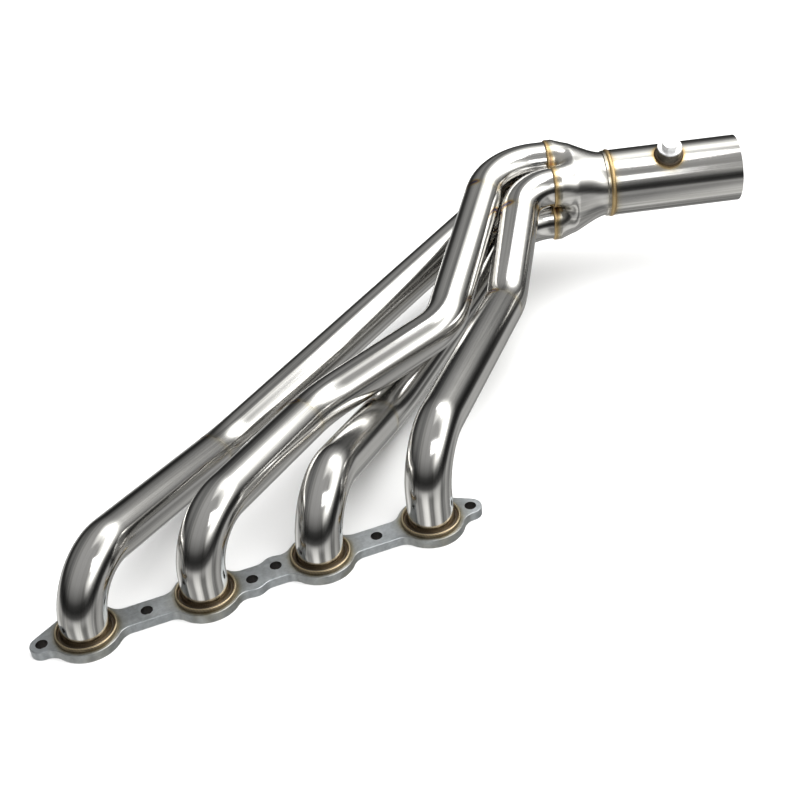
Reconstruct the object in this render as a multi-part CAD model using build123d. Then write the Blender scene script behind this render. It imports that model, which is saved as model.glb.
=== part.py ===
from build123d import *
import math
import os

# A four-into-one exhaust manifold (long-tube header) for one cylinder head.
# Origin: middle of the flange's mating face.  X runs along the row of ports, towards the outlet.
# Z is the flange normal, the way the tubes leave.  Y is the way the tubes are swept, away from the ports.
# All sizes are in millimetres.

# ---- driving dimensions -------------------------------------------------------------------------
port_spacing = 111.76          # centre to centre, 4.40 in
tube_radius = 44.45 / 2        # primary tube, 1-3/4 in outside diameter
tube_wall = 1.65               # 16 gauge
flange_thickness = 9.5         # 3/8 in plate
port_radius = 21.5             # gas opening in the mating face
port_lip = 3.0                 # the tubes stand in counterbores, on a lip this thick
flange_edge_break = 0.5
lobe_radius = 32.5             # flange outline around each port
strap_width = 26.0             # flange between the ports
tab_radius = 11.0              # rounded ends of the flange
end_hole_x = 208.4             # outermost bolt holes, from the middle
middle_hole_x = 12.7           # the staggered pair in the middle strap
middle_hole_y = 4.0
middle_boss_radius = 14.5      # flange outline around the staggered pair
outline_fillet = 14.0          # hollow corners where straps meet lobes
bolt_hole_radius = 5.5
slip_clearance = 0.1           # tube in flange, tube in collector socket

port_weld_leg = 6.8            # fillet weld round each tube
inlet_weld_leg = 3.2
weld_bulge = 0.62              # a fillet weld's crown, as a share of its legs
butt_crown = 1.2               # height of a butt weld's crown
butt_width = 7.0

port_bend_radius = 50.0        # centre-line radii of the mandrel bends
easy_bend_radius = 110.0
run_bend_radius = 66.0
collector_bend_radius = 68.0
tight_bend_radius = 45.0
joint_clearance = 6.0          # straight left between a bend and a butt joint

collector_mouth = (480.0, 376.0, 104.0)   # middle of the four tube ends
collector_turn = -16.0         # outlet axis, degrees from X towards the ports' side
collector_roll = 56.0          # second primary's lobe, degrees above the horizontal
lobe_spacing = 48.6            # between neighbouring tube ends
socket_length = 6.0            # collector socket over each tube end
collector_taper = 56.0         # formed part, from the sockets to the neck
neck_length = 6.0
neck_overlap = 1.0             # of the neck into the cones
lobe_inset = 1.5               # cones end this far off the outlet axis, so that they cross cleanly
spike_start = 1.0              # from the mouth
spike_width = 26.0
spike_length = 42.0
spike_tip = 2.0
outlet_radius = 76.2 / 2       # 3 in outlet pipe
outlet_length = 150.0

bung_along = 67.5              # from the start of the outlet pipe
bung_roll = 113.0              # degrees above the horizontal, past the vertical
bung_radius = 14.0
bung_height = 11.5             # above the outlet pipe
bung_bore_radius = 8.25        # tapping size of M18 x 1.5
bung_edge_break = 0.8
bung_opening_step = 3.0        # the hole in the pipe is this much smaller all round than the bung
bung_weld_leg = 3.0
bung_weld_rise = 0.7           # height of that bead on the pipe, as a share of its leg
wall_reach = 10.0              # past the pipe's wall, for cuts that go through it
saddle_drop = 8.0              # how far the saddle of the bung falls away from the pipe's crown
thread_depth = 10.0
washer_radius = 14.3
washer_thickness = 1.8
hex_across_flats = 17.0
hex_height = 7.0
hex_corner_radius = 9.5        # the hexagon's corners are turned down to this circle
hex_edge_break = 0.8

# ---- primary routes -----------------------------------------------------------------------------
# Each primary leaves its port square to the flange, climbs by `rise`, runs through the corners,
# and turns into the collector `lead` before its mouth.  `lobe` is its quarter turn round the
# collector's axis from the second primary.
primaries = {
    1: dict(rise=80.0, corners=[(20.6, 189.5, 22.4)], radii=[easy_bend_radius],
            lead=56.0, last_radius=collector_bend_radius, lobe=3),
    2: dict(rise=86.0, corners=[(114, 153, 64), (270, 200, 84)],
            radii=[easy_bend_radius, run_bend_radius],
            lead=64.0, last_radius=collector_bend_radius, lobe=0),
    3: dict(rise=83.0, corners=[(188.4, 168.1, 22.4)], radii=[easy_bend_radius],
            lead=43.0, last_radius=collector_bend_radius, lobe=2),
    4: dict(rise=94.0, corners=[(352, 224, 75)], radii=[run_bend_radius],
            lead=36.0, last_radius=tight_bend_radius, lobe=1),
}


def port_x(number):
    return (number - 2.5) * port_spacing


# ---- collector frame ----------------------------------------------------------------------------
turn = math.radians(collector_turn)
outlet_axis = Vector(math.cos(turn), math.sin(turn), 0)
side_axis = Vector(-math.sin(turn), math.cos(turn), 0)
up_axis = Vector(0, 0, 1)
mouth = Vector(*collector_mouth)


def around(degrees):
    """Unit direction square to the outlet axis, measured up from the horizontal."""
    angle = math.radians(degrees)
    return side_axis * math.cos(angle) + up_axis * math.sin(angle)


def along(distance, offset=Vector(0, 0, 0)):
    """Plane square to the outlet axis, `distance` from the mouth."""
    return Plane(origin=mouth + outlet_axis * distance + offset, x_dir=side_axis, z_dir=outlet_axis)


def lobe_offset(number):
    reach = lobe_spacing / math.sqrt(2)
    return around(collector_roll + 90 * primaries[number]["lobe"]) * reach


def rod(plane, radius, length):
    return extrude(plane * Circle(radius), length)


def pipe(plane, radius, wall, length):
    return extrude(plane * (Circle(radius) - Circle(radius - wall)), length)


def ring(plane, profile):
    """Solid of revolution about the plane's normal, from (radius, height) corners."""
    upright = Plane(origin=plane.origin, x_dir=plane.x_dir, z_dir=-plane.y_dir)
    return revolve(upright * profile, Axis(plane.origin, plane.z_dir), 360)


def fillet_bead(plane, radius, leg, reach):
    """Convex fillet weld on the outside of a tube, standing on the plane."""
    crown = (radius + reach * weld_bulge, leg * weld_bulge)
    edges = [
        Line((radius, 0), (radius + reach, 0)),
        ThreePointArc((radius + reach, 0), crown, (radius, leg)),
        Line((radius, leg), (radius, 0)),
    ]
    return ring(plane, make_face(edges))


def crown_bead(plane, radius, width, height):
    """Crown of a butt weld, centred on the plane."""
    edges = [
        Line((radius, -width / 2), (radius, width / 2)),
        ThreePointArc((radius, width / 2), (radius + height, 0), (radius, -width / 2)),
    ]
    return ring(plane, make_face(edges))


# ---- flange -------------------------------------------------------------------------------------
def round_hollows(outline, radius):
    """Round the hollow corners of an outline: grow it, then shrink it back."""
    grown = offset(outline, radius, kind=Kind.ARC)
    return offset(grown, -radius, kind=Kind.ARC)


def shoulder(side):
    """Fills the hollow between an end tab and its lobe, on the side that the tubes sweep to."""
    lobe_x = 1.5 * port_spacing
    lean = math.asin((lobe_radius - tab_radius) / (end_hole_x - lobe_x))
    across, up = math.sin(lean), math.cos(lean)
    corners = [
        (end_hole_x, 0),
        (end_hole_x + tab_radius * across, tab_radius * up),
        (lobe_x + lobe_radius * across, lobe_radius * up),
        (lobe_x, 0),
    ]
    anticlockwise = [(side * x, y) for x, y in corners][::side]
    return Polygon(*anticlockwise, align=None)


def head_flange():
    outline = Rectangle(3 * port_spacing, strap_width)
    outline += Rectangle(2 * end_hole_x, 2 * tab_radius)
    for side in (-1, 1):
        outline += Pos(side * end_hole_x, 0) * Circle(tab_radius)
        outline += shoulder(side)
        outline += Pos(side * middle_hole_x, side * middle_hole_y) * Circle(middle_boss_radius)
    for number in primaries:
        outline += Pos(port_x(number), 0) * Circle(lobe_radius)
    plate = extrude(round_hollows(outline, outline_fillet), flange_thickness)
    plate = chamfer(plate.faces().sort_by(Axis.Z)[-1].edges(), flange_edge_break)
    for number in primaries:
        plate -= Pos(port_x(number), 0, 0) * extrude(Circle(port_radius), port_lip)
        plate -= Pos(port_x(number), 0, port_lip) * \
            extrude(Circle(tube_radius + slip_clearance), flange_thickness - port_lip)
    for side in (-1, 1):
        for x, y in ((end_hole_x, 0), (port_spacing, 0), (middle_hole_x, side * middle_hole_y)):
            plate -= Pos(side * x, y, 0) * extrude(Circle(bolt_hole_radius), flange_thickness)
    return plate


# ---- primaries ----------------------------------------------------------------------------------
def corner_length(before, corner, after, radius):
    """Distance from a corner to where its bend of that radius starts."""
    turn_angle = (corner - before).get_angle(after - corner)
    return radius * math.tan(math.radians(turn_angle) / 2)


def primary_route(number):
    """Corner points and bend radii from the port's lip to the collector's mouth."""
    spec = primaries[number]
    end = mouth + lobe_offset(number)
    points = [Vector(port_x(number), 0, port_lip), Vector(port_x(number), 0, spec["rise"])]
    points += [Vector(*corner) for corner in spec["corners"]]
    points += [end - outlet_axis * spec["lead"], end]
    radii = [port_bend_radius] + spec["radii"] + [spec["last_radius"]]
    return points, radii


def joint_before(points, radii, corner):
    """Butt joint on the straight that leads to a corner, just before its bend."""
    reach = corner_length(points[corner - 1], points[corner], points[corner + 1], radii[corner - 1])
    step = (points[corner - 1] - points[corner]).normalized()
    return points[corner] + step * (reach + joint_clearance)


def bent_tube(points, radii):
    path = FilletPolyline(*points, radius=radii) if len(radii) > 1 else \
        FilletPolyline(*points, radius=radii[0])
    start = Plane(origin=points[0], z_dir=points[1] - points[0])
    section = start * (Circle(tube_radius) - Circle(tube_radius - tube_wall))
    return sweep(section, path=path)


def primary_sections(number):
    """Three bent lengths that meet face to face: port bend, run and collector bend."""
    points, radii = primary_route(number)
    first = joint_before(points, radii, 2)
    second = joint_before(points, radii, len(points) - 2)
    port_bend = bent_tube([points[0], points[1], first], radii[:1])
    run = bent_tube([first] + points[2:-2] + [second], radii[1:-1])
    collector_bend = bent_tube([second] + points[-2:], radii[-1:])
    return dict(port_bend=port_bend, run=run, collector_bend=collector_bend)


# ---- collector ----------------------------------------------------------------------------------
def cone_cluster(shrink):
    """Four oblique cones from the tube sockets to the outlet circle, and the neck."""
    reach = lobe_spacing / math.sqrt(2)
    cone_end = along(socket_length + collector_taper)
    cluster = rod(cone_end.offset(-neck_overlap), outlet_radius - shrink, neck_length + neck_overlap)
    for number in primaries:
        small = along(socket_length, lobe_offset(number)) * Circle(tube_radius + tube_wall - shrink)
        large = along(socket_length + collector_taper, lobe_offset(number) * (lobe_inset / reach)) * \
            Circle(outlet_radius - lobe_inset - shrink)
        cluster += loft([small.face(), large.face()], ruled=True)
    return cluster


def merge_spike():
    """Four-sided point that closes the gap between the tube ends and splits the flow."""
    facing = Plane(origin=mouth + outlet_axis * spike_start, x_dir=around(collector_roll),
                   z_dir=outlet_axis)
    base = facing * Rectangle(spike_width, spike_width)
    tip = facing.offset(spike_length) * Rectangle(spike_tip, spike_tip)
    spike = loft([base.face(), tip.face()], ruled=True)
    for number in primaries:
        spike -= rod(along(-1, lobe_offset(number)), tube_radius + tube_wall, socket_length + 1)
    return spike


def merge_collector(spike):
    shell = cone_cluster(0) - cone_cluster(tube_wall - slip_clearance)
    for number in primaries:
        base = along(0, lobe_offset(number))
        shell += pipe(base, tube_radius + tube_wall, tube_wall - slip_clearance, socket_length)
    return shell - spike


# ---- outlet pipe and sensor bung ----------------------------------------------------------------
pipe_start = socket_length + collector_taper + neck_length
bung_direction = around(bung_roll)


def bung_plane(height):
    """Plane square to the bung, `height` above the outlet pipe's crown."""
    foot = mouth + outlet_axis * (pipe_start + bung_along)
    return Plane(origin=foot + bung_direction * (outlet_radius + height),
                 x_dir=outlet_axis, z_dir=bung_direction)


def outlet_pipe():
    body = pipe(along(pipe_start), outlet_radius, tube_wall, outlet_length)
    opening = rod(bung_plane(-wall_reach), bung_radius - bung_opening_step, 2 * wall_reach)
    return body - opening


def sensor_bung():
    body = rod(bung_plane(-saddle_drop), bung_radius, bung_height + saddle_drop)
    body = chamfer(body.faces().sort_by(Axis(mouth, bung_direction))[-1].edges(), bung_edge_break)
    body -= rod(along(pipe_start), outlet_radius, outlet_length)
    return body - rod(bung_plane(-wall_reach), bung_bore_radius, bung_height + 2 * wall_reach)


def sensor_bung_weld():
    """Bead that follows the saddle where the boss meets the pipe."""
    collar = rod(bung_plane(-saddle_drop), bung_radius + bung_weld_leg, saddle_drop + bung_weld_leg)
    near_pipe = rod(along(pipe_start), outlet_radius + bung_weld_leg * bung_weld_rise, outlet_length)
    bead = collar & near_pipe
    bead -= rod(along(pipe_start), outlet_radius, outlet_length)
    return bead - rod(bung_plane(-wall_reach), bung_radius, 2 * wall_reach)


def sensor_plug_washer():
    base = bung_plane(bung_height)
    return rod(base, washer_radius, washer_thickness) - rod(base, bung_bore_radius, washer_thickness)


def sensor_plug():
    seat = bung_plane(bung_height + washer_thickness)
    head = extrude(seat * RegularPolygon(hex_across_flats / 2, 6, major_radius=False), hex_height)
    turned = rod(seat, hex_corner_radius, hex_height)
    turned = chamfer(turned.faces().sort_by(Axis(mouth, bung_direction))[-1].edges(), hex_edge_break)
    head = head & turned
    shank = rod(bung_plane(bung_height - thread_depth), bung_bore_radius - slip_clearance,
                thread_depth + washer_thickness)
    return head + shank


# ---- build --------------------------------------------------------------------------------------
os.makedirs("parts", exist_ok=True)
parts = {"head_flange": head_flange()}
for number in primaries:
    for name, section in primary_sections(number).items():
        parts[f"primary_{number}_{name}"] = section
    on_flange = Plane(origin=(port_x(number), 0, flange_thickness))
    parts[f"flange_weld_{number}"] = fillet_bead(on_flange, tube_radius, port_weld_leg, port_weld_leg)
    mouth_plane = along(0, lobe_offset(number))
    back = Plane(origin=mouth_plane.origin, x_dir=mouth_plane.x_dir, z_dir=-mouth_plane.z_dir)
    parts[f"collector_inlet_weld_{number}"] = fillet_bead(back, tube_radius, inlet_weld_leg, tube_wall)
parts["merge_spike"] = merge_spike()
parts["merge_collector"] = merge_collector(parts["merge_spike"])
parts["collector_outlet_weld"] = crown_bead(along(pipe_start), outlet_radius, butt_width, butt_crown)
parts["outlet_pipe"] = outlet_pipe()
parts["sensor_bung"] = sensor_bung()
parts["sensor_bung_weld"] = sensor_bung_weld()
parts["sensor_plug_washer"] = sensor_plug_washer()
parts["sensor_plug"] = sensor_plug()
for name, shape in parts.items():
    export_step(shape, f"parts/{name}.step")
    print(f"{name}: {len(shape.solids())} solid, {shape.volume:.0f} mm3")
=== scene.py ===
import math

import bpy
import numpy as np
from mathutils import Matrix, Vector


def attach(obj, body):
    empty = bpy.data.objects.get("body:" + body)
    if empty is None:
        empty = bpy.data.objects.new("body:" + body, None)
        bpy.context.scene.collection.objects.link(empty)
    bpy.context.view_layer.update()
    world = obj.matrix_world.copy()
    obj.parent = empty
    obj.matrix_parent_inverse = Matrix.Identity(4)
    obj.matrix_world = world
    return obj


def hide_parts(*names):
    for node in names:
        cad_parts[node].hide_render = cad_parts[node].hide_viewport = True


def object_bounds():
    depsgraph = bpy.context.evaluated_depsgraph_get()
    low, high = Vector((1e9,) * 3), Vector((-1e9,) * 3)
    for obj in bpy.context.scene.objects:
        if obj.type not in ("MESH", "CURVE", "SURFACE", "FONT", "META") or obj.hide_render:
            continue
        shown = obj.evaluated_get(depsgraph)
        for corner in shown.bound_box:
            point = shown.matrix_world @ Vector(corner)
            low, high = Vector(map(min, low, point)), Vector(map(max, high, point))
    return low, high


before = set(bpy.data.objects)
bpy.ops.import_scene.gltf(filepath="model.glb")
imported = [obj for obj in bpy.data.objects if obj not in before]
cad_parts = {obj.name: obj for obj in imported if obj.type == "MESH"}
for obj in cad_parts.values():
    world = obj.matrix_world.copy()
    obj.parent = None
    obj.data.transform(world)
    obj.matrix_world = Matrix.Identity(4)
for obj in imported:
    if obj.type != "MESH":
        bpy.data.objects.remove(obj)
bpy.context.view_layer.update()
print("frame loaded:", len(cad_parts), "nodes")

# shapes are worked out in millimetres and turned into metres where their mesh is made
mm = 0.001


def unit(vector):
    vector = np.asarray(vector, float)
    return vector / np.linalg.norm(vector)


def meshFromGrid(name, grid, uv=None, values=None, sharpDegrees=40.0):
    # A grid of points closed both ways round, like the skin of a ring: row i is joined to row i + 1,
    # column j to column j + 1, and the last row and column to the first.
    rows, columns = grid.shape[:2]
    index = np.arange(rows * columns).reshape(rows, columns)
    nextRow = np.roll(index, -1, axis=0)
    nextColumn = np.roll(index, -1, axis=1)
    nextBoth = np.roll(nextRow, -1, axis=1)
    quads = np.stack([index, nextRow, nextBoth, nextColumn], axis=-1).reshape(-1, 4)
    points = grid.reshape(-1, 3)
    corners = points[quads]
    # the signed volume tells whether the faces look outwards
    first = np.einsum("ij,ij->i", corners[:, 0], np.cross(corners[:, 1], corners[:, 2])).sum()
    second = np.einsum("ij,ij->i", corners[:, 0], np.cross(corners[:, 2], corners[:, 3])).sum()
    if first + second < 0:
        quads = quads[:, ::-1]
    mesh = bpy.data.meshes.new(name)
    mesh.vertices.add(len(points))
    mesh.vertices.foreach_set("co", points.astype(np.float32).ravel())
    mesh.loops.add(quads.size)
    mesh.loops.foreach_set("vertex_index", quads.ravel().astype(np.int32))
    mesh.polygons.add(len(quads))
    mesh.polygons.foreach_set("loop_start", np.arange(0, quads.size, 4, dtype=np.int32))
    mesh.update(calc_edges=True)
    mesh.polygons.foreach_set("use_smooth", np.ones(len(quads), bool))
    if uv is not None:
        layer = mesh.uv_layers.new(name="UVMap")
        flat = uv.reshape(-1, 2)[quads.ravel()]
        layer.data.foreach_set("uv", flat.astype(np.float32).ravel())
    for key, value in (values or {}).items():
        attribute = mesh.attributes.new(key, "FLOAT", "POINT")
        attribute.data.foreach_set("value", value.astype(np.float32).ravel())
    mesh.set_sharp_from_angle(angle=math.radians(sharpDegrees))
    mesh.validate()
    return mesh


def place(name, mesh, material, body, slotName, *nodes):
    piece = bpy.data.objects.new(name, mesh)
    bpy.context.scene.collection.objects.link(piece)
    mesh.materials.append(material)
    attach(piece, body)
    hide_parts(*nodes)
    return piece


def bentPath(corners, bendRadii, step):
    # Straight lengths joined by circular bends that touch both.  A bend of radius r through angle t
    # starts r * tan(t / 2) before its corner; the side direction turns with the bend and never twists.
    corners = np.asarray(corners, float)
    ways = np.diff(corners, axis=0)
    ways /= np.linalg.norm(ways, axis=1)[:, None]
    side = unit(np.cross(ways[0], [0.3, -0.9, 0.2]))
    start = corners[0]
    placesOut, waysOut, sidesOut = [], [], []
    for leg, way in enumerate(ways):
        last = leg == len(ways) - 1
        bend = 0.0 if last else math.acos(np.clip(way @ ways[leg + 1], -1, 1))
        cut = 0.0 if last else bendRadii[leg] * math.tan(bend / 2)
        end = corners[leg + 1] - way * cut
        count = max(2, int(np.linalg.norm(end - start) / step))
        share = np.linspace(0, 1, count, endpoint=last)[:, None]
        placesOut.append(start + (end - start) * share)
        waysOut.append(np.repeat(way[None], count, axis=0))
        sidesOut.append(np.repeat(side[None], count, axis=0))
        if last:
            break
        across = unit(ways[leg + 1] - way * (way @ ways[leg + 1]))
        pin = np.cross(way, across)
        radius = bendRadii[leg]
        count = max(4, int(radius * bend / step))
        angle = np.linspace(0, bend, count, endpoint=False)[:, None]
        placesOut.append(end + radius * (np.sin(angle) * way + (1 - np.cos(angle)) * across))
        waysOut.append(np.cos(angle) * way + np.sin(angle) * across)
        turned = np.cos(angle) * across - np.sin(angle) * way
        sidesOut.append((side @ pin) * pin + (side @ across) * turned)
        side = (side @ pin) * pin + (side @ across) * (math.cos(bend) * across - math.sin(bend) * way)
        start = corners[leg + 1] + ways[leg + 1] * cut
    return np.concatenate(placesOut), np.concatenate(waysOut), np.concatenate(sidesOut)


def carriedTube(places, ways, sides, outer, inner, around):
    # A round wall carried along a path: out along the outer skin, back along the inner one.
    angle = np.linspace(0, 2 * math.pi, around, endpoint=False)
    lifts = np.cross(ways, sides)
    spoke = np.cos(angle)[None, :, None] * sides[:, None] + np.sin(angle)[None, :, None] * lifts[:, None]
    skinOut = places[:, None] + spoke * outer
    skinIn = places[::-1, None] + spoke[::-1] * inner
    travelled = np.concatenate([[0], np.cumsum(np.linalg.norm(np.diff(places, axis=0), axis=1))])
    u = np.concatenate([travelled, travelled[::-1]])[:, None] + 0 * angle[None]
    v = 0 * u + angle[None] * outer
    return np.concatenate([skinOut, skinIn]), np.stack([u, v], axis=-1), travelled


def ringFrame(centre, axis, side):
    axis = unit(axis)
    side = unit(np.asarray(side) - axis * (axis @ side))
    return np.asarray(centre, float), axis, side, np.cross(axis, side)


def turnedRing(ring, radius, height, around, lift=None):
    # A closed outline of radius and height turned about an axis. lift adds a height that depends on
    # where a point is on the ring.
    centre, axis, side, up = ring
    angle = np.linspace(0, 2 * math.pi, around, endpoint=False)[:, None]
    radius = np.broadcast_to(radius, (around, np.shape(radius)[-1]))
    height = np.broadcast_to(height, radius.shape)
    if lift is not None:
        height = height + lift(angle, radius)
    spoke = np.cos(angle)[..., None] * side + np.sin(angle)[..., None] * up
    grid = centre + spoke * radius[..., None] + axis * height[..., None]
    across = np.cumsum(np.full(radius.shape, 0.001), axis=1)
    return grid, np.stack([angle * radius.mean() + 0 * radius, across], axis=-1)


def newMaterial(name):
    material = bpy.data.materials.new(name)
    material.use_nodes = True
    return material, material.node_tree, material.node_tree.nodes["Principled BSDF"]


def addNode(tree, kind, **settings):
    node = tree.nodes.new(kind)
    for key, value in settings.items():
        setattr(node, key, value)
    return node


def ramp(tree, source, stops):
    node = addNode(tree, "ShaderNodeValToRGB")
    elements = node.color_ramp.elements
    while len(elements) < len(stops):
        elements.new(0.5)
    for element, (at, colour) in zip(elements, stops):
        element.position = at
        element.color = (*colour, 1.0)
    tree.links.new(source, node.inputs["Fac"])
    return node.outputs["Color"]


def noise(tree, coordinates, scale, detail=4.0, roughness=0.55, stretch=(1, 1, 1)):
    mapping = addNode(tree, "ShaderNodeMapping")
    mapping.inputs["Scale"].default_value = stretch
    tree.links.new(coordinates, mapping.inputs["Vector"])
    node = addNode(tree, "ShaderNodeTexNoise")
    node.inputs["Scale"].default_value = scale
    node.inputs["Detail"].default_value = detail
    node.inputs["Roughness"].default_value = roughness
    tree.links.new(mapping.outputs["Vector"], node.inputs["Vector"])
    return node.outputs["Fac"]


def calc(tree, operation, first, second=None, third=None, clamp=False):
    node = addNode(tree, "ShaderNodeMath", operation=operation, use_clamp=clamp)
    for socket, value in zip(node.inputs, (first, second, third)):
        if value is None:
            continue
        if isinstance(value, (int, float)):
            socket.default_value = value
        else:
            tree.links.new(value, socket)
    return node.outputs[0]


def mixColour(tree, factor, first, second, blend="MIX"):
    node = addNode(tree, "ShaderNodeMix", data_type="RGBA", blend_type=blend)
    for socket, value in ((node.inputs[0], factor), (node.inputs[6], first), (node.inputs[7], second)):
        if isinstance(value, (int, float)):
            socket.default_value = value
        elif isinstance(value, tuple):
            socket.default_value = (*value, 1.0)
        else:
            tree.links.new(value, socket)
    return node.outputs[2]


def bumpFrom(tree, shader, height, strength, distance):
    node = addNode(tree, "ShaderNodeBump")
    node.inputs["Strength"].default_value = strength
    node.inputs["Distance"].default_value = distance
    tree.links.new(height, node.inputs["Height"])
    tree.links.new(node.outputs["Normal"], shader.inputs["Normal"])


# steel -> straw -> bronze -> violet -> blue -> scale, as steel colours when it is heated
heatColours = [
    (0.00, (0.80, 0.79, 0.775)),
    (0.22, (0.78, 0.73, 0.62)),
    (0.42, (0.70, 0.52, 0.26)),
    (0.60, (0.42, 0.25, 0.15)),
    (0.76, (0.20, 0.19, 0.27)),
    (1.00, (0.05, 0.05, 0.07)),
]

polish = dict(roughLow=0.07, roughHigh=0.20, tintRough=0.22, grainBump=0.05, bumpDepth=0.0004,
              hazeScale=26.0, smearScale=9.0, smearShare=0.35, lineScale=60.0, lineStretch=(1.5, 34.0, 1.0),
              streakSpan=0.0222, streakRadius=2.3, streakAlong=1.2, streakDark=0.42, streakShare=0.9)


def polishedSteel(name, colours, steel):
    # Mirror polish with haze, fine lines along the tube, and the tint that each weld leaves beside it. The
    # same tint also carries painted dark reflection at the tube joints and painted shade in the collector's
    # valleys.
    material, tree, shader = newMaterial(name)
    coordinates = addNode(tree, "ShaderNodeTexCoord")
    haze = noise(tree, coordinates.outputs["Object"], steel["hazeScale"], 6)
    smear = noise(tree, coordinates.outputs["Object"], steel["smearScale"], 3)
    lines = noise(tree, coordinates.outputs["UV"], steel["lineScale"], 3, 0.6, steel["lineStretch"])
    # polishing streaks: noise on a circle, so they join up round the tube, and drawn out along it
    spot = addNode(tree, "ShaderNodeSeparateXYZ")
    tree.links.new(coordinates.outputs["UV"], spot.inputs["Vector"])
    turn = calc(tree, "DIVIDE", spot.outputs["Y"], steel["streakSpan"])
    circle = addNode(tree, "ShaderNodeCombineXYZ")
    for socket, value, factor in (("X", spot.outputs["X"], steel["streakAlong"]),
                                  ("Y", calc(tree, "COSINE", turn), steel["streakRadius"]),
                                  ("Z", calc(tree, "SINE", turn), steel["streakRadius"])):
        tree.links.new(calc(tree, "MULTIPLY", value, factor), circle.inputs[socket])
    streaks = noise(tree, circle.outputs["Vector"], 1.0, 4, 0.6)
    heat = addNode(tree, "ShaderNodeAttribute", attribute_name="weldTintAndPaintedShade")
    patchy = calc(tree, "MULTIPLY_ADD", haze, 1.1, 0.45)
    tint = calc(tree, "MULTIPLY", heat.outputs["Fac"], patchy, clamp=True)
    colour = ramp(tree, tint, colours)
    smearColour = ramp(tree, smear, [(0.3, (0.80, 0.79, 0.78)), (0.75, (1, 1, 1))])
    colour = mixColour(tree, steel["smearShare"], colour, smearColour, "MULTIPLY")
    dark = steel["streakDark"]
    streakColour = ramp(tree, streaks, [(0.36, (dark, dark * 1.01, dark * 1.02)), (0.47, (0.80, 0.80, 0.79)),
                                        (0.56, (1, 1, 1))])
    colour = mixColour(tree, steel["streakShare"], colour, streakColour, "MULTIPLY")
    tree.links.new(colour, shader.inputs["Base Color"])
    shader.inputs["Metallic"].default_value = 1.0
    spread = steel["roughHigh"] - steel["roughLow"]
    rough = calc(tree, "MULTIPLY_ADD", haze, spread, steel["roughLow"])
    rough = calc(tree, "MULTIPLY_ADD", tint, steel["tintRough"], rough)
    tree.links.new(rough, shader.inputs["Roughness"])
    height = calc(tree, "MULTIPLY_ADD", lines, 0.7, calc(tree, "MULTIPLY", haze, 0.3))
    bumpFrom(tree, shader, height, steel["grainBump"], steel["bumpDepth"])
    return material


def weldMetal(name, stops, roughness):
    # Ripple crests bright, hollows brown, with colour that wanders along the bead.
    material, tree, shader = newMaterial(name)
    coordinates = addNode(tree, "ShaderNodeTexCoord")
    wander = noise(tree, coordinates.outputs["Object"], 75.0, 4)
    grain = noise(tree, coordinates.outputs["Object"], 900.0, 3)
    across = addNode(tree, "ShaderNodeAttribute", attribute_name="across")
    crest = addNode(tree, "ShaderNodeAttribute", attribute_name="crest")
    position = calc(tree, "MULTIPLY_ADD", wander, 0.16, calc(tree, "SUBTRACT", across.outputs["Fac"], 0.08))
    colour = ramp(tree, position, stops)
    dark = calc(tree, "MULTIPLY_ADD", crest.outputs["Fac"], 0.30, 0.74, clamp=True)
    shade = addNode(tree, "ShaderNodeCombineColor")
    for socket in shade.inputs:
        tree.links.new(dark, socket)
    colour = mixColour(tree, 1.0, colour, shade.outputs["Color"], "MULTIPLY")
    tree.links.new(colour, shader.inputs["Base Color"])
    shader.inputs["Metallic"].default_value = 1.0
    tree.links.new(calc(tree, "MULTIPLY_ADD", grain, 0.22, roughness), shader.inputs["Roughness"])
    bumpFrom(tree, shader, grain, 0.25, 0.0003)
    return material


# the near-black hole colour in this table is painted shade for the walls of the drilled holes
flangeFinish = dict(plate=(0.62, 0.65, 0.675), scale=(0.42, 0.445, 0.465), roughness=0.38, tintFrom=27 * mm,
                    tintTo=40 * mm, tintWander=8 * mm, portSpacing=111.76 * mm, holeRadius=5.5 * mm,
                    holeShade=(0.045, 0.042, 0.04), endHole=208.4 * mm, middleHole=(12.7 * mm, 4.0 * mm))


def flatDistance(tree, x, y):
    # the root of the sum of the squares
    squares = [calc(tree, "POWER", calc(tree, "ABSOLUTE", part), 2.0) for part in (x, y)]
    return calc(tree, "SQRT", calc(tree, "ADD", *squares))


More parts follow.
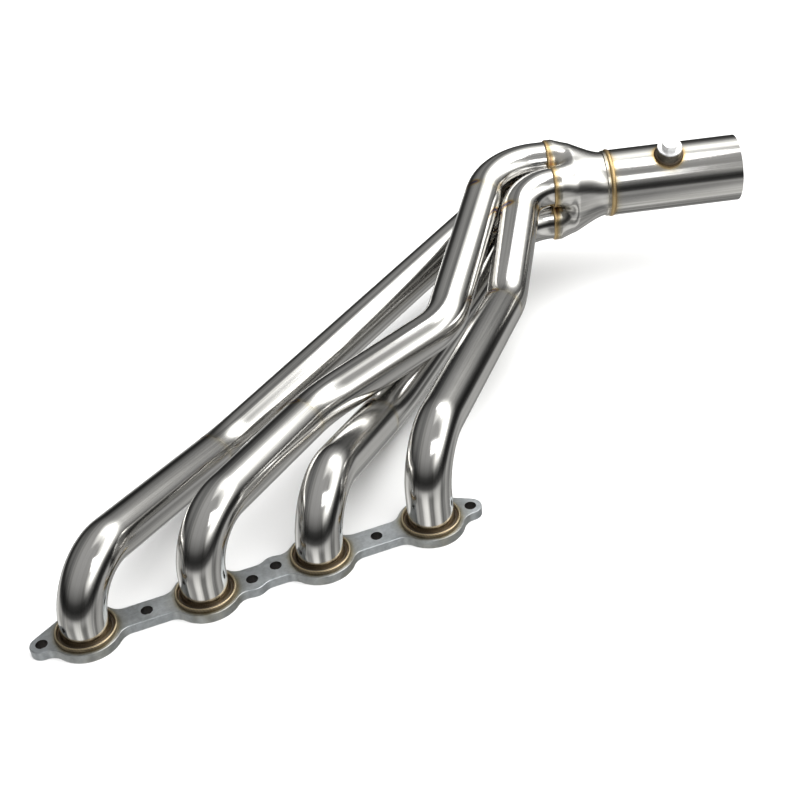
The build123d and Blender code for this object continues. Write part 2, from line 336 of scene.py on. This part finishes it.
def flangeSteel(name, finish):
    # Cold plate, blasted and wiped: mottled, with a straw halo where each tube was welded on.
    material, tree, shader = newMaterial(name)
    coordinates = addNode(tree, "ShaderNodeTexCoord")
    parts = addNode(tree, "ShaderNodeSeparateXYZ")
    tree.links.new(coordinates.outputs["Object"], parts.inputs["Vector"])
    # distance to the nearest port: the ports lie half a spacing off the middle
    turns = calc(tree, "FRACT", calc(tree, "DIVIDE", parts.outputs["X"], finish["portSpacing"]))
    fromPort = calc(tree, "MULTIPLY", calc(tree, "SUBTRACT", turns, 0.5), finish["portSpacing"])
    distance = flatDistance(tree, fromPort, parts.outputs["Y"])
    blot = noise(tree, coordinates.outputs["Object"], 45.0, 6)
    mottle = noise(tree, coordinates.outputs["Object"], 160.0, 8, 0.7)
    grain = noise(tree, coordinates.outputs["Object"], 1400.0, 2)
    wander = finish["tintWander"]
    wandering = calc(tree, "MULTIPLY_ADD", blot, wander, calc(tree, "SUBTRACT", distance, wander / 2))
    share = addNode(tree, "ShaderNodeMapRange")
    share.inputs["From Min"].default_value = finish["tintFrom"]
    share.inputs["From Max"].default_value = finish["tintTo"]
    tree.links.new(wandering, share.inputs["Value"])
    halo = ramp(tree, share.outputs["Result"], [(0.0, (0.50, 0.38, 0.22)), (0.18, (0.66, 0.58, 0.42)),
                                                (0.45, (0.92, 0.90, 0.86)), (1.0, (1, 1, 1))])
    steel = ramp(tree, mottle, [(0.30, finish["scale"]), (0.62, finish["plate"])])
    steel = mixColour(tree, 1.0, steel, halo, "MULTIPLY")
    # the walls of the drilled holes are painted near black: painted shade inside the holes
    sideX = calc(tree, "ABSOLUTE", parts.outputs["X"])
    mirroredY = calc(tree, "MULTIPLY", parts.outputs["Y"], calc(tree, "SIGN", parts.outputs["X"]))
    nearest = None
    for holeX, holeY in ((finish["endHole"], 0.0), (finish["portSpacing"], 0.0), finish["middleHole"]):
        reach = flatDistance(tree, calc(tree, "SUBTRACT", sideX, holeX),
                             calc(tree, "SUBTRACT", mirroredY, holeY))
        nearest = reach if nearest is None else calc(tree, "MINIMUM", nearest, reach)
    insideHole = calc(tree, "LESS_THAN", nearest, finish["holeRadius"] * 1.03)
    steel = mixColour(tree, insideHole, steel, finish["holeShade"])
    tree.links.new(steel, shader.inputs["Base Color"])
    shader.inputs["Metallic"].default_value = 1.0
    rough = calc(tree, "MULTIPLY_ADD", mottle, 0.25, finish["roughness"] - 0.06)
    tree.links.new(rough, shader.inputs["Roughness"])
    bumpFrom(tree, shader, calc(tree, "ADD", grain, mottle), 0.22, 0.0002)
    return material


def platedSteel(name, colour, roughness, dirt):
    # Zinc plate: bright, slightly cloudy, with grime in patches.
    material, tree, shader = newMaterial(name)
    coordinates = addNode(tree, "ShaderNodeTexCoord")
    cloud = noise(tree, coordinates.outputs["Object"], 130.0, 5)
    grain = noise(tree, coordinates.outputs["Object"], 1500.0, 3)
    colours = ramp(tree, cloud, [(0.28, dirt), (0.52, colour)])
    tree.links.new(colours, shader.inputs["Base Color"])
    shader.inputs["Metallic"].default_value = 0.85
    tree.links.new(calc(tree, "MULTIPLY_ADD", cloud, 0.20, roughness), shader.inputs["Roughness"])
    bumpFrom(tree, shader, grain, 0.10, 0.0002)
    return material


tubeSteel = polishedSteel("tubePolish", heatColours, polish)
shellPolish = dict(polish, roughLow=0.10, roughHigh=0.30, grainBump=0.10, streakSpan=0.03)
shellSteel = polishedSteel("shellPolish", heatColours, shellPolish)
# bead colours run from the toe on the plate to the toe on the tube; the port bead's gold is weld colour, and
# its near-black band beside the tube is painted shade in the trough behind the roll
portBeadTintAndTroughShade = weldMetal("portBeadTintAndTroughShade", [
    (0.0, (0.30, 0.25, 0.18)), (0.12, (0.62, 0.50, 0.32)), (0.36, (0.74, 0.64, 0.46)),
    (0.52, (0.30, 0.21, 0.13)), (0.64, (0.08, 0.065, 0.05)), (1.0, (0.20, 0.165, 0.12)),
], 0.24)
goldBeadMetal = weldMetal("goldBeadMetal", [
    (0.0, (0.55, 0.38, 0.17)), (0.35, (0.78, 0.58, 0.30)), (0.70, (0.72, 0.52, 0.26)),
    (1.0, (0.42, 0.27, 0.13)),
], 0.24)
brownBeadMetal = weldMetal("brownBeadMetal", [
    (0.0, (0.34, 0.24, 0.12)), (0.35, (0.26, 0.18, 0.10)), (0.70, (0.13, 0.10, 0.07)),
    (1.0, (0.08, 0.065, 0.05)),
], 0.28)
plateSteel = flangeSteel("flangePlate", flangeFinish)
zincPlug = platedSteel("zincPlug", (0.90, 0.90, 0.90), 0.24, (0.66, 0.66, 0.65))
bungSteel = platedSteel("bungSteel", (0.20, 0.18, 0.15), 0.30, (0.10, 0.09, 0.075))
spikeSteel = platedSteel("spikeSteel", (0.50, 0.46, 0.40), 0.35, (0.20, 0.17, 0.13))
print("materials made")

# the four primaries, each a port bend, a run and a collector bend
# the patch settings below deepen the tint on one fixed side of each joint: a painted dark reflection
tubes = dict(portSpacing=111.76, outer=22.225, inner=20.575, lip=3.0, step=4.0, around=80, portBend=50.0,
             clearance=6.0, heatReach=4.2, portHeat=0.30, jointHeat=1.0, reflectionPatchWay=(-0.55, 0.45, 0.70),
             reflectionPatchFrom=0.72, reflectionPatchSoftness=0.16, reflectionPatchTint=0.75, restHeat=0.20)
# where the collector stands, which the tubes, the beads and the outlet pipe all meet
collector = dict(mouth=(480.0, 376.0, 104.0), end=68.0, outletRadius=38.1, turnDegrees=-16.0,
                 rollDegrees=56.0, spacing=48.6)
routes = {
    1: dict(rise=80.0, corners=[(20.6, 189.5, 22.4)], radii=[110.0], lead=56.0, lastRadius=68.0, lobe=3),
    2: dict(rise=86.0, corners=[(114, 153, 64), (270, 200, 84)], radii=[110.0, 66.0], lead=64.0,
            lastRadius=68.0, lobe=0),
    3: dict(rise=83.0, corners=[(188.4, 168.1, 22.4)], radii=[110.0], lead=43.0, lastRadius=68.0, lobe=2),
    4: dict(rise=94.0, corners=[(352, 224, 75)], radii=[66.0], lead=36.0, lastRadius=45.0, lobe=1),
}

turnAngle = math.radians(collector["turnDegrees"])
mouth = np.array(collector["mouth"])
outletWay = np.array([math.cos(turnAngle), math.sin(turnAngle), 0.0])
outletSide = np.array([-math.sin(turnAngle), math.cos(turnAngle), 0.0])
skyward = np.array([0.0, 0.0, 1.0])
lobeReach = collector["spacing"] / math.sqrt(2)


def aroundOutlet(angle):
    return np.cos(angle)[..., None] * outletSide + np.sin(angle)[..., None] * skyward


def lobeAngle(number):
    return math.radians(collector["rollDegrees"] + 90 * routes[number]["lobe"])


def lobeCentre(number):
    return mouth + aroundOutlet(np.array(lobeAngle(number))) * lobeReach


def portPlace(number):
    return (number - 2.5) * tubes["portSpacing"]


def tubeRoute(number):
    route = routes[number]
    portX = portPlace(number)
    end = lobeCentre(number)
    corners = [(portX, 0, tubes["lip"]), (portX, 0, route["rise"]), *route["corners"],
               tuple(end - outletWay * route["lead"]), tuple(end)]
    return np.array(corners, float), [tubes["portBend"], *route["radii"], route["lastRadius"]]


def buttJoint(corners, radii, corner):
    # on the straight that leads to a corner, a little before its bend starts
    arriving = unit(corners[corner] - corners[corner - 1])
    leaving = unit(corners[corner + 1] - corners[corner])
    cut = radii[corner - 1] * math.tan(math.acos(arriving @ leaving) / 2)
    return corners[corner] - arriving * (cut + tubes["clearance"])


def heatAlong(travelled, startHeat, endHeat):
    # the tint dies away from each end of the length like a bell curve
    reach = tubes["heatReach"]
    fromStart = startHeat * np.exp(-((travelled / reach) ** 2))
    fromEnd = endHeat * np.exp(-(((travelled[-1] - travelled) / reach) ** 2))
    return np.maximum(fromStart, fromEnd)


def tubeLength(name, corners, radii, startHeat, endHeat, node):
    path = bentPath(corners, radii, tubes["step"])
    grid, uv, travelled = carriedTube(*path, tubes["outer"], tubes["inner"], tubes["around"])
    heat = heatAlong(travelled, startHeat, endHeat)
    # each joint keeps a faint weld tint all round; a patch on the upper back, deepened towards dark blue and
    # facing one fixed direction on every tube, is a painted dark reflection
    centre = np.concatenate([path[0], path[0][::-1]])[:, None]
    outward = (grid - centre) / np.linalg.norm(grid - centre, axis=-1, keepdims=True)
    reflectionPatch = np.clip((outward @ unit(tubes["reflectionPatchWay"]) - tubes["reflectionPatchFrom"]) / tubes["reflectionPatchSoftness"], 0, 1)
    heat = np.concatenate([heat, heat[::-1]])[:, None] * (tubes["restHeat"] + tubes["reflectionPatchTint"] * reflectionPatch)
    mesh = meshFromGrid(name, grid * mm, uv * mm, dict(weldTintAndPaintedShade=heat))
    return place(name, mesh, tubeSteel, "manifold", "polished_tube", node)


for number in routes:
    corners, radii = tubeRoute(number)
    first = buttJoint(corners, radii, 2)
    second = buttJoint(corners, radii, len(corners) - 2)
    joint = tubes["jointHeat"]
    tubeLength(f"portBend{number}", [corners[0], corners[1], first], radii[:1], 0.0, joint,
               f"primary_{number}_port_bend")
    tubeLength(f"run{number}", [first, *corners[2:-2], second], radii[1:-1], joint, joint,
               f"primary_{number}_run")
    tubeLength(f"collectorBend{number}", [second, *corners[-2:]], radii[-1:], joint, tubes["portHeat"],
               f"primary_{number}_collector_bend")
print("tubes made")

# lengths of the beads in millimetres; ripples are counted once round
beads = dict(around=720, sunk=0.6, flangeTop=9.5, portLeg=6.8, portRoll=3.6, portRipples=64, portHeight=0.28,
             inletLeg=3.2, inletReach=1.65, inletBulge=0.7, inletRipples=60, inletHeight=0.22,
             outletWidth=5.2, outletCrown=0.9, outletRipples=92, outletHeight=0.22,
             bungLeg=3.0, bungBulge=0.5, bungRipples=34, bungHeight=0.25)


def ripple(angle, across, count):
    # fish-scale ripples: each is a hump with a steep lee side, and they lag towards the bead's toes
    phase = angle * count / (2 * math.pi) - 1.1 * (2 * across - 1) ** 2 + 0.12 * np.sin(angle * 5 + 1)
    share = phase - np.floor(phase)
    return np.sin(math.pi * np.sqrt(share)) ** 0.8


def beadProfile(radius, reach, leg, bulge, count, sunk):
    # a convex fillet from the toe on the plate up to the toe on the tube, closed inside the parent metal
    share = np.linspace(0, 1, count)
    swell = bulge * np.sin(math.pi * share)
    r = radius + reach * (1 - share) + swell * 0.7
    z = leg * share + swell * 0.7
    r = np.concatenate([r, [radius - sunk, radius - sunk, radius + reach * 0.8]])
    z = np.concatenate([z, [leg * 0.8, -sunk, -sunk]])
    face = np.concatenate([np.ones(count), np.zeros(3)])
    return r, z, face, np.concatenate([share, [1, 0.5, 0]])


def rolledProfile(radius, reach, leg, count, sunk):
    # a round roll on the outer half, then a trough, then a thin second pass against the tube
    share = np.linspace(0, 1, count)
    roll = beads["portRoll"] * np.sqrt(np.clip(1 - ((share - 0.24) / 0.26) ** 2, 0, 1))
    rise = leg * np.clip((share - 0.72) / 0.28, 0, 1) ** 2 * 0.55
    r = np.concatenate([radius + reach * (1 - share), [radius - sunk, radius - sunk, radius + reach * 0.9]])
    z = np.concatenate([np.maximum(roll, 0.9 * np.clip(share * 8, 0, 1)) + rise, [leg * 0.5, -sunk, -sunk]])
    face = np.concatenate([np.ones(count), np.zeros(3)])
    return r, z, face, np.concatenate([share, [1, 0.5, 0]])


def weldRing(name, ring, profile, rippleCount, rippleHeight, material, node, lift=None, outward=(0.7, 0.7)):
    r, z, face, share = profile
    angle = np.linspace(0, 2 * math.pi, beads["around"], endpoint=False)[:, None]
    crest = ripple(angle, share[None], rippleCount)
    rise = crest * rippleHeight * face * np.sin(math.pi * np.clip(share, 0.02, 0.98)) ** 0.5
    grid, uv = turnedRing(ring, r + rise * outward[0], z + rise * outward[1], beads["around"], lift)
    mesh = meshFromGrid(name, grid * mm, uv * mm, dict(across=share[None] + 0 * crest, crest=crest), 60.0)
    return place(name, mesh, material, "manifold", "weld_bead", node)


def crownProfile(radius, width, crown, count, sunk):
    # a low arch over a butt joint
    share = np.linspace(0, 1, count)
    half = width / 2
    r = np.concatenate([radius + crown * np.sin(math.pi * share), [radius - sunk] * 2])
    z = np.concatenate([half * (2 * share - 1), [half * 0.8, -half * 0.8]])
    face = np.concatenate([np.ones(count), np.zeros(2)])
    return r, z, face, np.concatenate([share, [1, 0]])


for number in routes:
    ring = ringFrame((portPlace(number), 0, beads["flangeTop"]), (0, 0, 1), (1, 0, 0))
    profile = rolledProfile(tubes["outer"], beads["portLeg"], beads["portLeg"], 40, beads["sunk"])
    weldRing(f"portBead{number}", ring, profile, beads["portRipples"], beads["portHeight"], portBeadTintAndTroughShade,
             f"flange_weld_{number}")
    ring = ringFrame(lobeCentre(number), -outletWay, outletSide)
    profile = beadProfile(tubes["outer"], beads["inletReach"], beads["inletLeg"], beads["inletBulge"], 12,
                          beads["sunk"])
    weldRing(f"inletBead{number}", ring, profile, beads["inletRipples"], beads["inletHeight"], goldBeadMetal,
             f"collector_inlet_weld_{number}")

outletRadius = collector["outletRadius"]
pipeFrom = mouth + outletWay * collector["end"]
crown = crownProfile(outletRadius, beads["outletWidth"], beads["outletCrown"], 14, beads["sunk"])
weldRing("outletBead", ringFrame(pipeFrom, outletWay, outletSide), crown, beads["outletRipples"],
         beads["outletHeight"], goldBeadMetal, "collector_outlet_weld", outward=(1.0, 0.0))
print("beads made")

# the pressed collector, tinted at its two ends by the welds, and darkened further in the valleys between its
# lobes near the mouth as painted shade
shell = dict(socket=6.0, taper=56.0, neck=6.0, wall=1.6, mouthRadius=23.875, lobeInset=1.5, power=9.0,
             fillReach=27.0, fillShare=0.80, rows=72, around=480, outletHeat=0.42, outletHeatReach=5.5,
             mouthHeat=0.38, mouthHeatReach=4.5, valleyShadeTint=0.30, valleyShadeReach=12.0)


def shellRadius(travel, angle):
    # The reach of four leaning cones from the outlet axis, melted together: the p-th root of the sum of
    # the p-th powers, which follows the longest one and rounds the valley where two are level.
    share = np.clip((travel - shell["socket"]) / shell["taper"], 0, 1)
    offset = lobeReach + (shell["lobeInset"] - lobeReach) * share
    offset = np.where(travel > shell["socket"] + shell["taper"], 0.0, offset)
    radius = shell["mouthRadius"] + (outletRadius - shell["lobeInset"] - shell["mouthRadius"]) * share
    radius = np.where(travel > shell["socket"] + shell["taper"], outletRadius, radius)
    # the pressed shell fills the valleys between the lobes a short way from the mouth
    filled = np.clip(travel / shell["fillReach"], 0, 1)
    filled = filled * filled * (3 - 2 * filled) * shell["fillShare"]
    floorRadius = offset * math.cos(math.pi / 4) * 1.02
    total = (floorRadius + (offset + radius - floorRadius) * filled) ** shell["power"]
    for number in routes:
        apart = angle - lobeAngle(number)
        inside = radius**2 - (offset * np.sin(apart)) ** 2
        reach = offset * np.cos(apart) + np.sqrt(np.maximum(inside, 0))
        total = total + np.where((inside > 0) & (reach > 0), np.maximum(reach, 0), 0) ** shell["power"]
    melted = total ** (1 / shell["power"])
    # level cones would swell the neck by the same root, so it is taken back there
    swell = 1 + ((4 + shell["fillShare"] ** shell["power"]) ** (1 / shell["power"]) - 1) * share**2
    return np.minimum(melted / swell, 200)


travel = np.linspace(0, shell["socket"] + shell["taper"] + shell["neck"], shell["rows"])[:, None]
angle = np.linspace(0, 2 * math.pi, shell["around"], endpoint=False)[None]
reachOut = shellRadius(travel, angle)
spoke = aroundOutlet(angle)
skinOut = mouth + outletWay * travel[..., None] + spoke * reachOut[..., None]
skinIn = (mouth + outletWay * travel[..., None] + spoke * (reachOut - shell["wall"])[..., None])[::-1]
endHeat = shell["outletHeat"] * np.exp(-(((travel - collector["end"]) / shell["outletHeatReach"]) ** 2))
endHeat = endHeat + shell["mouthHeat"] * np.exp(-((travel / shell["mouthHeatReach"]) ** 2))
# the extra tint in the valleys between the lobes is painted shade in the creases
valleyShade = np.abs(np.sin(2 * (angle - lobeAngle(2)))) ** 8 * np.exp(-((travel / shell["valleyShadeReach"]) ** 2))
heat = np.minimum(endHeat + valleyShade * shell["valleyShadeTint"], 1) + 0 * angle
uv = np.stack([travel + 0 * angle, angle * 30 + 0 * travel], axis=-1)
mesh = meshFromGrid("mergeShell", np.concatenate([skinOut, skinIn]) * mm, np.concatenate([uv, uv[::-1]]) * mm,
                    dict(weldTintAndPaintedShade=np.concatenate([heat, heat[::-1]])), 50.0)
place("mergeShell", mesh, shellSteel, "manifold", "collector_shell", "merge_collector")
print("collector made")

# the outlet pipe with the bung that is welded over it, and the plug's washer
outlet = dict(length=150.0, outer=outletRadius, inner=36.45, step=3.0, around=160, endHeat=0.42,
              endHeatReach=6.0, bungHeat=0.55, bungHeatFrom=15.0, bungHeatReach=5.5, bungAlong=67.5,
              bungRoll=113.0, bungRadius=14.0, bungHeight=11.5, bore=8.25, chamfer=0.8, boreChamfer=0.6,
              turnedAround=128, washerRadius=14.3, washerThick=1.8, washerEdge=0.5, washerFoot=0.4)
pipeEnd = pipeFrom + outletWay * outlet["length"]
path = bentPath([pipeFrom, pipeEnd], [], outlet["step"])
grid, uv, travelled = carriedTube(*path, outlet["outer"], outlet["inner"], outlet["around"])
bungAngle = np.array(math.radians(outlet["bungRoll"]))
bungWay = aroundOutlet(bungAngle)
bungFoot = pipeFrom + outletWay * outlet["bungAlong"] + bungWay * outlet["outer"]
fromBung = np.linalg.norm(grid - bungFoot, axis=-1)
endHeat = outlet["endHeat"] * np.exp(-((travelled / outlet["endHeatReach"]) ** 2))
pastBung = (fromBung - outlet["bungHeatFrom"]) / outlet["bungHeatReach"]
bungHeat = outlet["bungHeat"] * np.exp(-(pastBung**2))
heat = np.concatenate([endHeat, endHeat[::-1]])[:, None] + bungHeat
mesh = meshFromGrid("outletPipe", grid * mm, uv * mm, dict(weldTintAndPaintedShade=np.clip(heat, 0, 1)))
place("outletPipe", mesh, tubeSteel, "manifold", "outlet_tube", "outlet_pipe")


def saddle(angle, radius):
    # how far the pipe's round crown falls away at this distance from the bung's axis
    sideways = np.minimum(np.abs(radius * np.sin(angle)), outlet["outer"])
    return np.sqrt(outlet["outer"] ** 2 - sideways**2) - outlet["outer"]


bungRing = ringFrame(bungFoot, bungWay, outletWay)
top, edge, wall, bore = outlet["bungHeight"], outlet["chamfer"], outlet["bungRadius"], outlet["bore"]
boreEdge = outlet["boreChamfer"]
outline = np.array([(bore, 0), (bore, top - boreEdge), (bore + boreEdge, top), (wall - edge, top),
                    (wall, top - edge), (wall, 0)])
# only the outline's two feet follow the pipe
feet = np.array([1, 0, 0, 0, 0, 1.0])
grid, uv = turnedRing(bungRing, outline[:, 0], outline[:, 1], outlet["turnedAround"],
                      lambda angle, radius: saddle(angle, radius) * feet)
place("sensorBung", meshFromGrid("sensorBung", grid * mm, uv * mm, None, 25.0), bungSteel, "manifold",
      "bung_steel", "sensor_bung")
share = np.linspace(0, 1, 12)
swell = beads["bungBulge"] * np.sin(math.pi * share)
profile = (np.concatenate([wall + beads["bungLeg"] * (1 - share) + swell, [wall - 0.5, wall - 0.5]]),
           np.concatenate([beads["bungLeg"] * share + swell, [2.0, -0.5]]),
           np.concatenate([np.ones(12), np.zeros(2)]), np.concatenate([share, [1, 0.5]]))
weldRing("bungBead", bungRing, profile, beads["bungRipples"], beads["bungHeight"], brownBeadMetal,
         "sensor_bung_weld", saddle)

washerRing = ringFrame(bungFoot + bungWay * top, bungWay, outletWay)
thick, rim = outlet["washerThick"], outlet["washerRadius"]
rimEdge, foot = outlet["washerEdge"], outlet["washerFoot"]
outline = np.array([(bore, 0), (bore, thick), (rim - rimEdge, thick), (rim, thick - rimEdge), (rim, foot),
                    (rim - foot, 0)])
grid, uv = turnedRing(washerRing, outline[:, 0], outline[:, 1], outlet["turnedAround"])
place("plugWasher", meshFromGrid("plugWasher", grid * mm, uv * mm, None, 25.0), zincPlug, "plug_washer",
      "zinc_washer", "sensor_plug_washer")
print("outlet made")

# these nodes keep their own mesh and only get a material
kept = {
    "head_flange": (plateSteel, "flange_plate"),
    "merge_spike": (spikeSteel, "collector_shell"),
    "sensor_plug": (zincPlug, "zinc_plug"),
}
for node, (material, slotName) in kept.items():
    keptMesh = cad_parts[node].data
    keptMesh.materials.clear()
    keptMesh.materials.append(material)

studio = dict(floorSize=9.0, floorColour=(0.93, 0.93, 0.93), floorRoughness=0.9, fill=3.2, fillDegrees=120.0,
              overhead=1.7, nearCamera=1.5, boxesAlongPipe=75.0, window=3.0, lens=65.8, sensor=36.0)
low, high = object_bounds()
size = studio["floorSize"] / 2
middle = (low + high) / 2
floorMesh = bpy.data.meshes.new("floor")
floorCorners = ((-1, -1), (1, -1), (1, 1), (-1, 1))
floorMesh.from_pydata([(middle.x + x * size, middle.y + y * size, low.z) for x, y in floorCorners], [],
                      [(0, 1, 2, 3)])
floor = bpy.data.objects.new("floor", floorMesh)
bpy.context.scene.collection.objects.link(floor)
floorMaterial, tree, shader = newMaterial("floorPaper")
shader.inputs["Base Color"].default_value = (*studio["floorColour"], 1)
shader.inputs["Roughness"].default_value = studio["floorRoughness"]
shader.inputs["Specular IOR Level"].default_value = 0.1
floorMesh.materials.append(floorMaterial)


def softbox(name, centre, direction, distance, width, height, strength):
    way = Vector(direction).normalized()
    lamp = bpy.data.lights.new(name, "AREA")
    lamp.shape = "RECTANGLE"
    lamp.size, lamp.size_y = width, height
    lamp.energy = strength
    box = bpy.data.objects.new(name, lamp)
    box.location = centre + way * distance
    box.rotation_euler = way.to_track_quat("Z", "Y").to_euler()
    bpy.context.scene.collection.objects.link(box)
    return box


# two boxes stand close to the outlet pipe, one over it and one on the near side
pipeMiddle = Vector(mouth + outletWay * (collector["end"] + studio["boxesAlongPipe"])) / 1000
fill = bpy.data.lights.new("fill", "SUN")
fill.energy = studio["fill"]
fill.angle = math.radians(studio["fillDegrees"])
fillLamp = bpy.data.objects.new("fill", fill)
bpy.context.scene.collection.objects.link(fillLamp)
overheadBox = softbox("overheadBox", pipeMiddle, (0.05, 0.03, 1.0), 0.80, 0.60, 0.30, studio["overhead"])
cameraBox = softbox("cameraBox", pipeMiddle, (-0.245, -0.776, 0.581), 1.2, 0.60, 0.34, studio["nearCamera"])
# polished steel mirrors the room and not the bare paper, as if the paper ended just outside the frame
floor.visible_glossy = False
fillLamp.visible_glossy = False

world = bpy.data.worlds.new("studioRoom")
bpy.context.scene.world = world
world.use_nodes = True
tree = world.node_tree
coordinates = addNode(tree, "ShaderNodeTexCoord")
parts = addNode(tree, "ShaderNodeSeparateXYZ")
tree.links.new(coordinates.outputs["Generated"], parts.inputs["Vector"])


def greys(*stops):
    return [(at, (level, level, level * 0.985)) for at, level in stops]


# height runs from 0 straight down through 0.5 at the horizon to 1 straight up, and compass once round
height = calc(tree, "MULTIPLY_ADD", parts.outputs["Z"], 0.5, 0.5)
room = ramp(tree, height, greys((0.0, 0.75), (0.20, 0.85), (0.36, 0.60), (0.42, 0.07), (0.50, 0.02),
                                (0.58, 0.04), (0.68, 0.18), (0.80, 0.32), (1.0, 0.40)))
compass = calc(tree, "MULTIPLY_ADD", calc(tree, "ARCTAN2", parts.outputs["Y"], parts.outputs["X"]),
               1 / (2 * math.pi), 0.5)
# dark stands and pale panels round the table, seen only low down
stands = ramp(tree, compass, greys((0.0, 0.9), (0.045, 0.25), (0.09, 0.20), (0.12, 1.1), (0.17, 1.3),
                                   (0.20, 0.14), (0.245, 0.10), (0.27, 0.85), (0.33, 1.0), (0.36, 0.20),
                                   (0.43, 0.45), (0.50, 0.10), (0.56, 0.55), (0.63, 0.15), (0.70, 0.8),
                                   (0.78, 0.18), (0.86, 1.1), (0.93, 0.4), (1.0, 0.9)))
lowDown = calc(tree, "MULTIPLY_ADD", parts.outputs["Z"], -3.2, -0.4, clamp=True)
lowDown = calc(tree, "SMOOTH_MIN", lowDown, 1.0, 0.1)
light = mixColour(tree, calc(tree, "MULTIPLY", lowDown, 0.85), (1.0, 1.0, 1.0), stands)
room = mixColour(tree, 1.0, room, light, "MULTIPLY")
# one long window down the right-hand side of the room, a little higher at its far end
slope = calc(tree, "MULTIPLY_ADD", compass, -0.483, 0.212)
windowHeight = ramp(tree, calc(tree, "ADD", height, slope),
                    greys((0.0, 0), (0.58, 0.0), (0.68, 0.10), (0.73, 0.5), (0.78, 1), (0.84, 1),
                          (0.88, 0.35), (0.96, 0), (1.0, 0)))
windowWidth = ramp(tree, compass, greys((0.0, 0), (0.24, 0), (0.37, 1), (0.58, 1), (0.70, 0), (1.0, 0)))
windowPane = mixColour(tree, 1.0, windowHeight, windowWidth, "MULTIPLY")
brightPane = mixColour(tree, 1.0, windowPane, (studio["window"],) * 3, "MULTIPLY")
tree.links.new(mixColour(tree, 1.0, room, brightPane, "ADD"), tree.nodes["Background"].inputs["Color"])

camera = bpy.data.cameras.new("camera")
camera.lens = studio["lens"]
camera.sensor_width = studio["sensor"]
camera.clip_start = 0.05
eye = bpy.data.objects.new("camera", camera)
right, up, back = (0.92851, -0.36029, -0.08977), (0.27903, 0.51756, 0.80887), (-0.24496, -0.77609, 0.58110)
pose = Matrix((right, up, back)).transposed().to_4x4()
pose.translation = Vector((-0.1702, -1.0136, 0.9140))
eye.matrix_world = pose
bpy.context.scene.collection.objects.link(eye)
bpy.context.scene.camera = eye
bpy.context.scene.view_settings.view_transform = "Standard"
print("studio made")
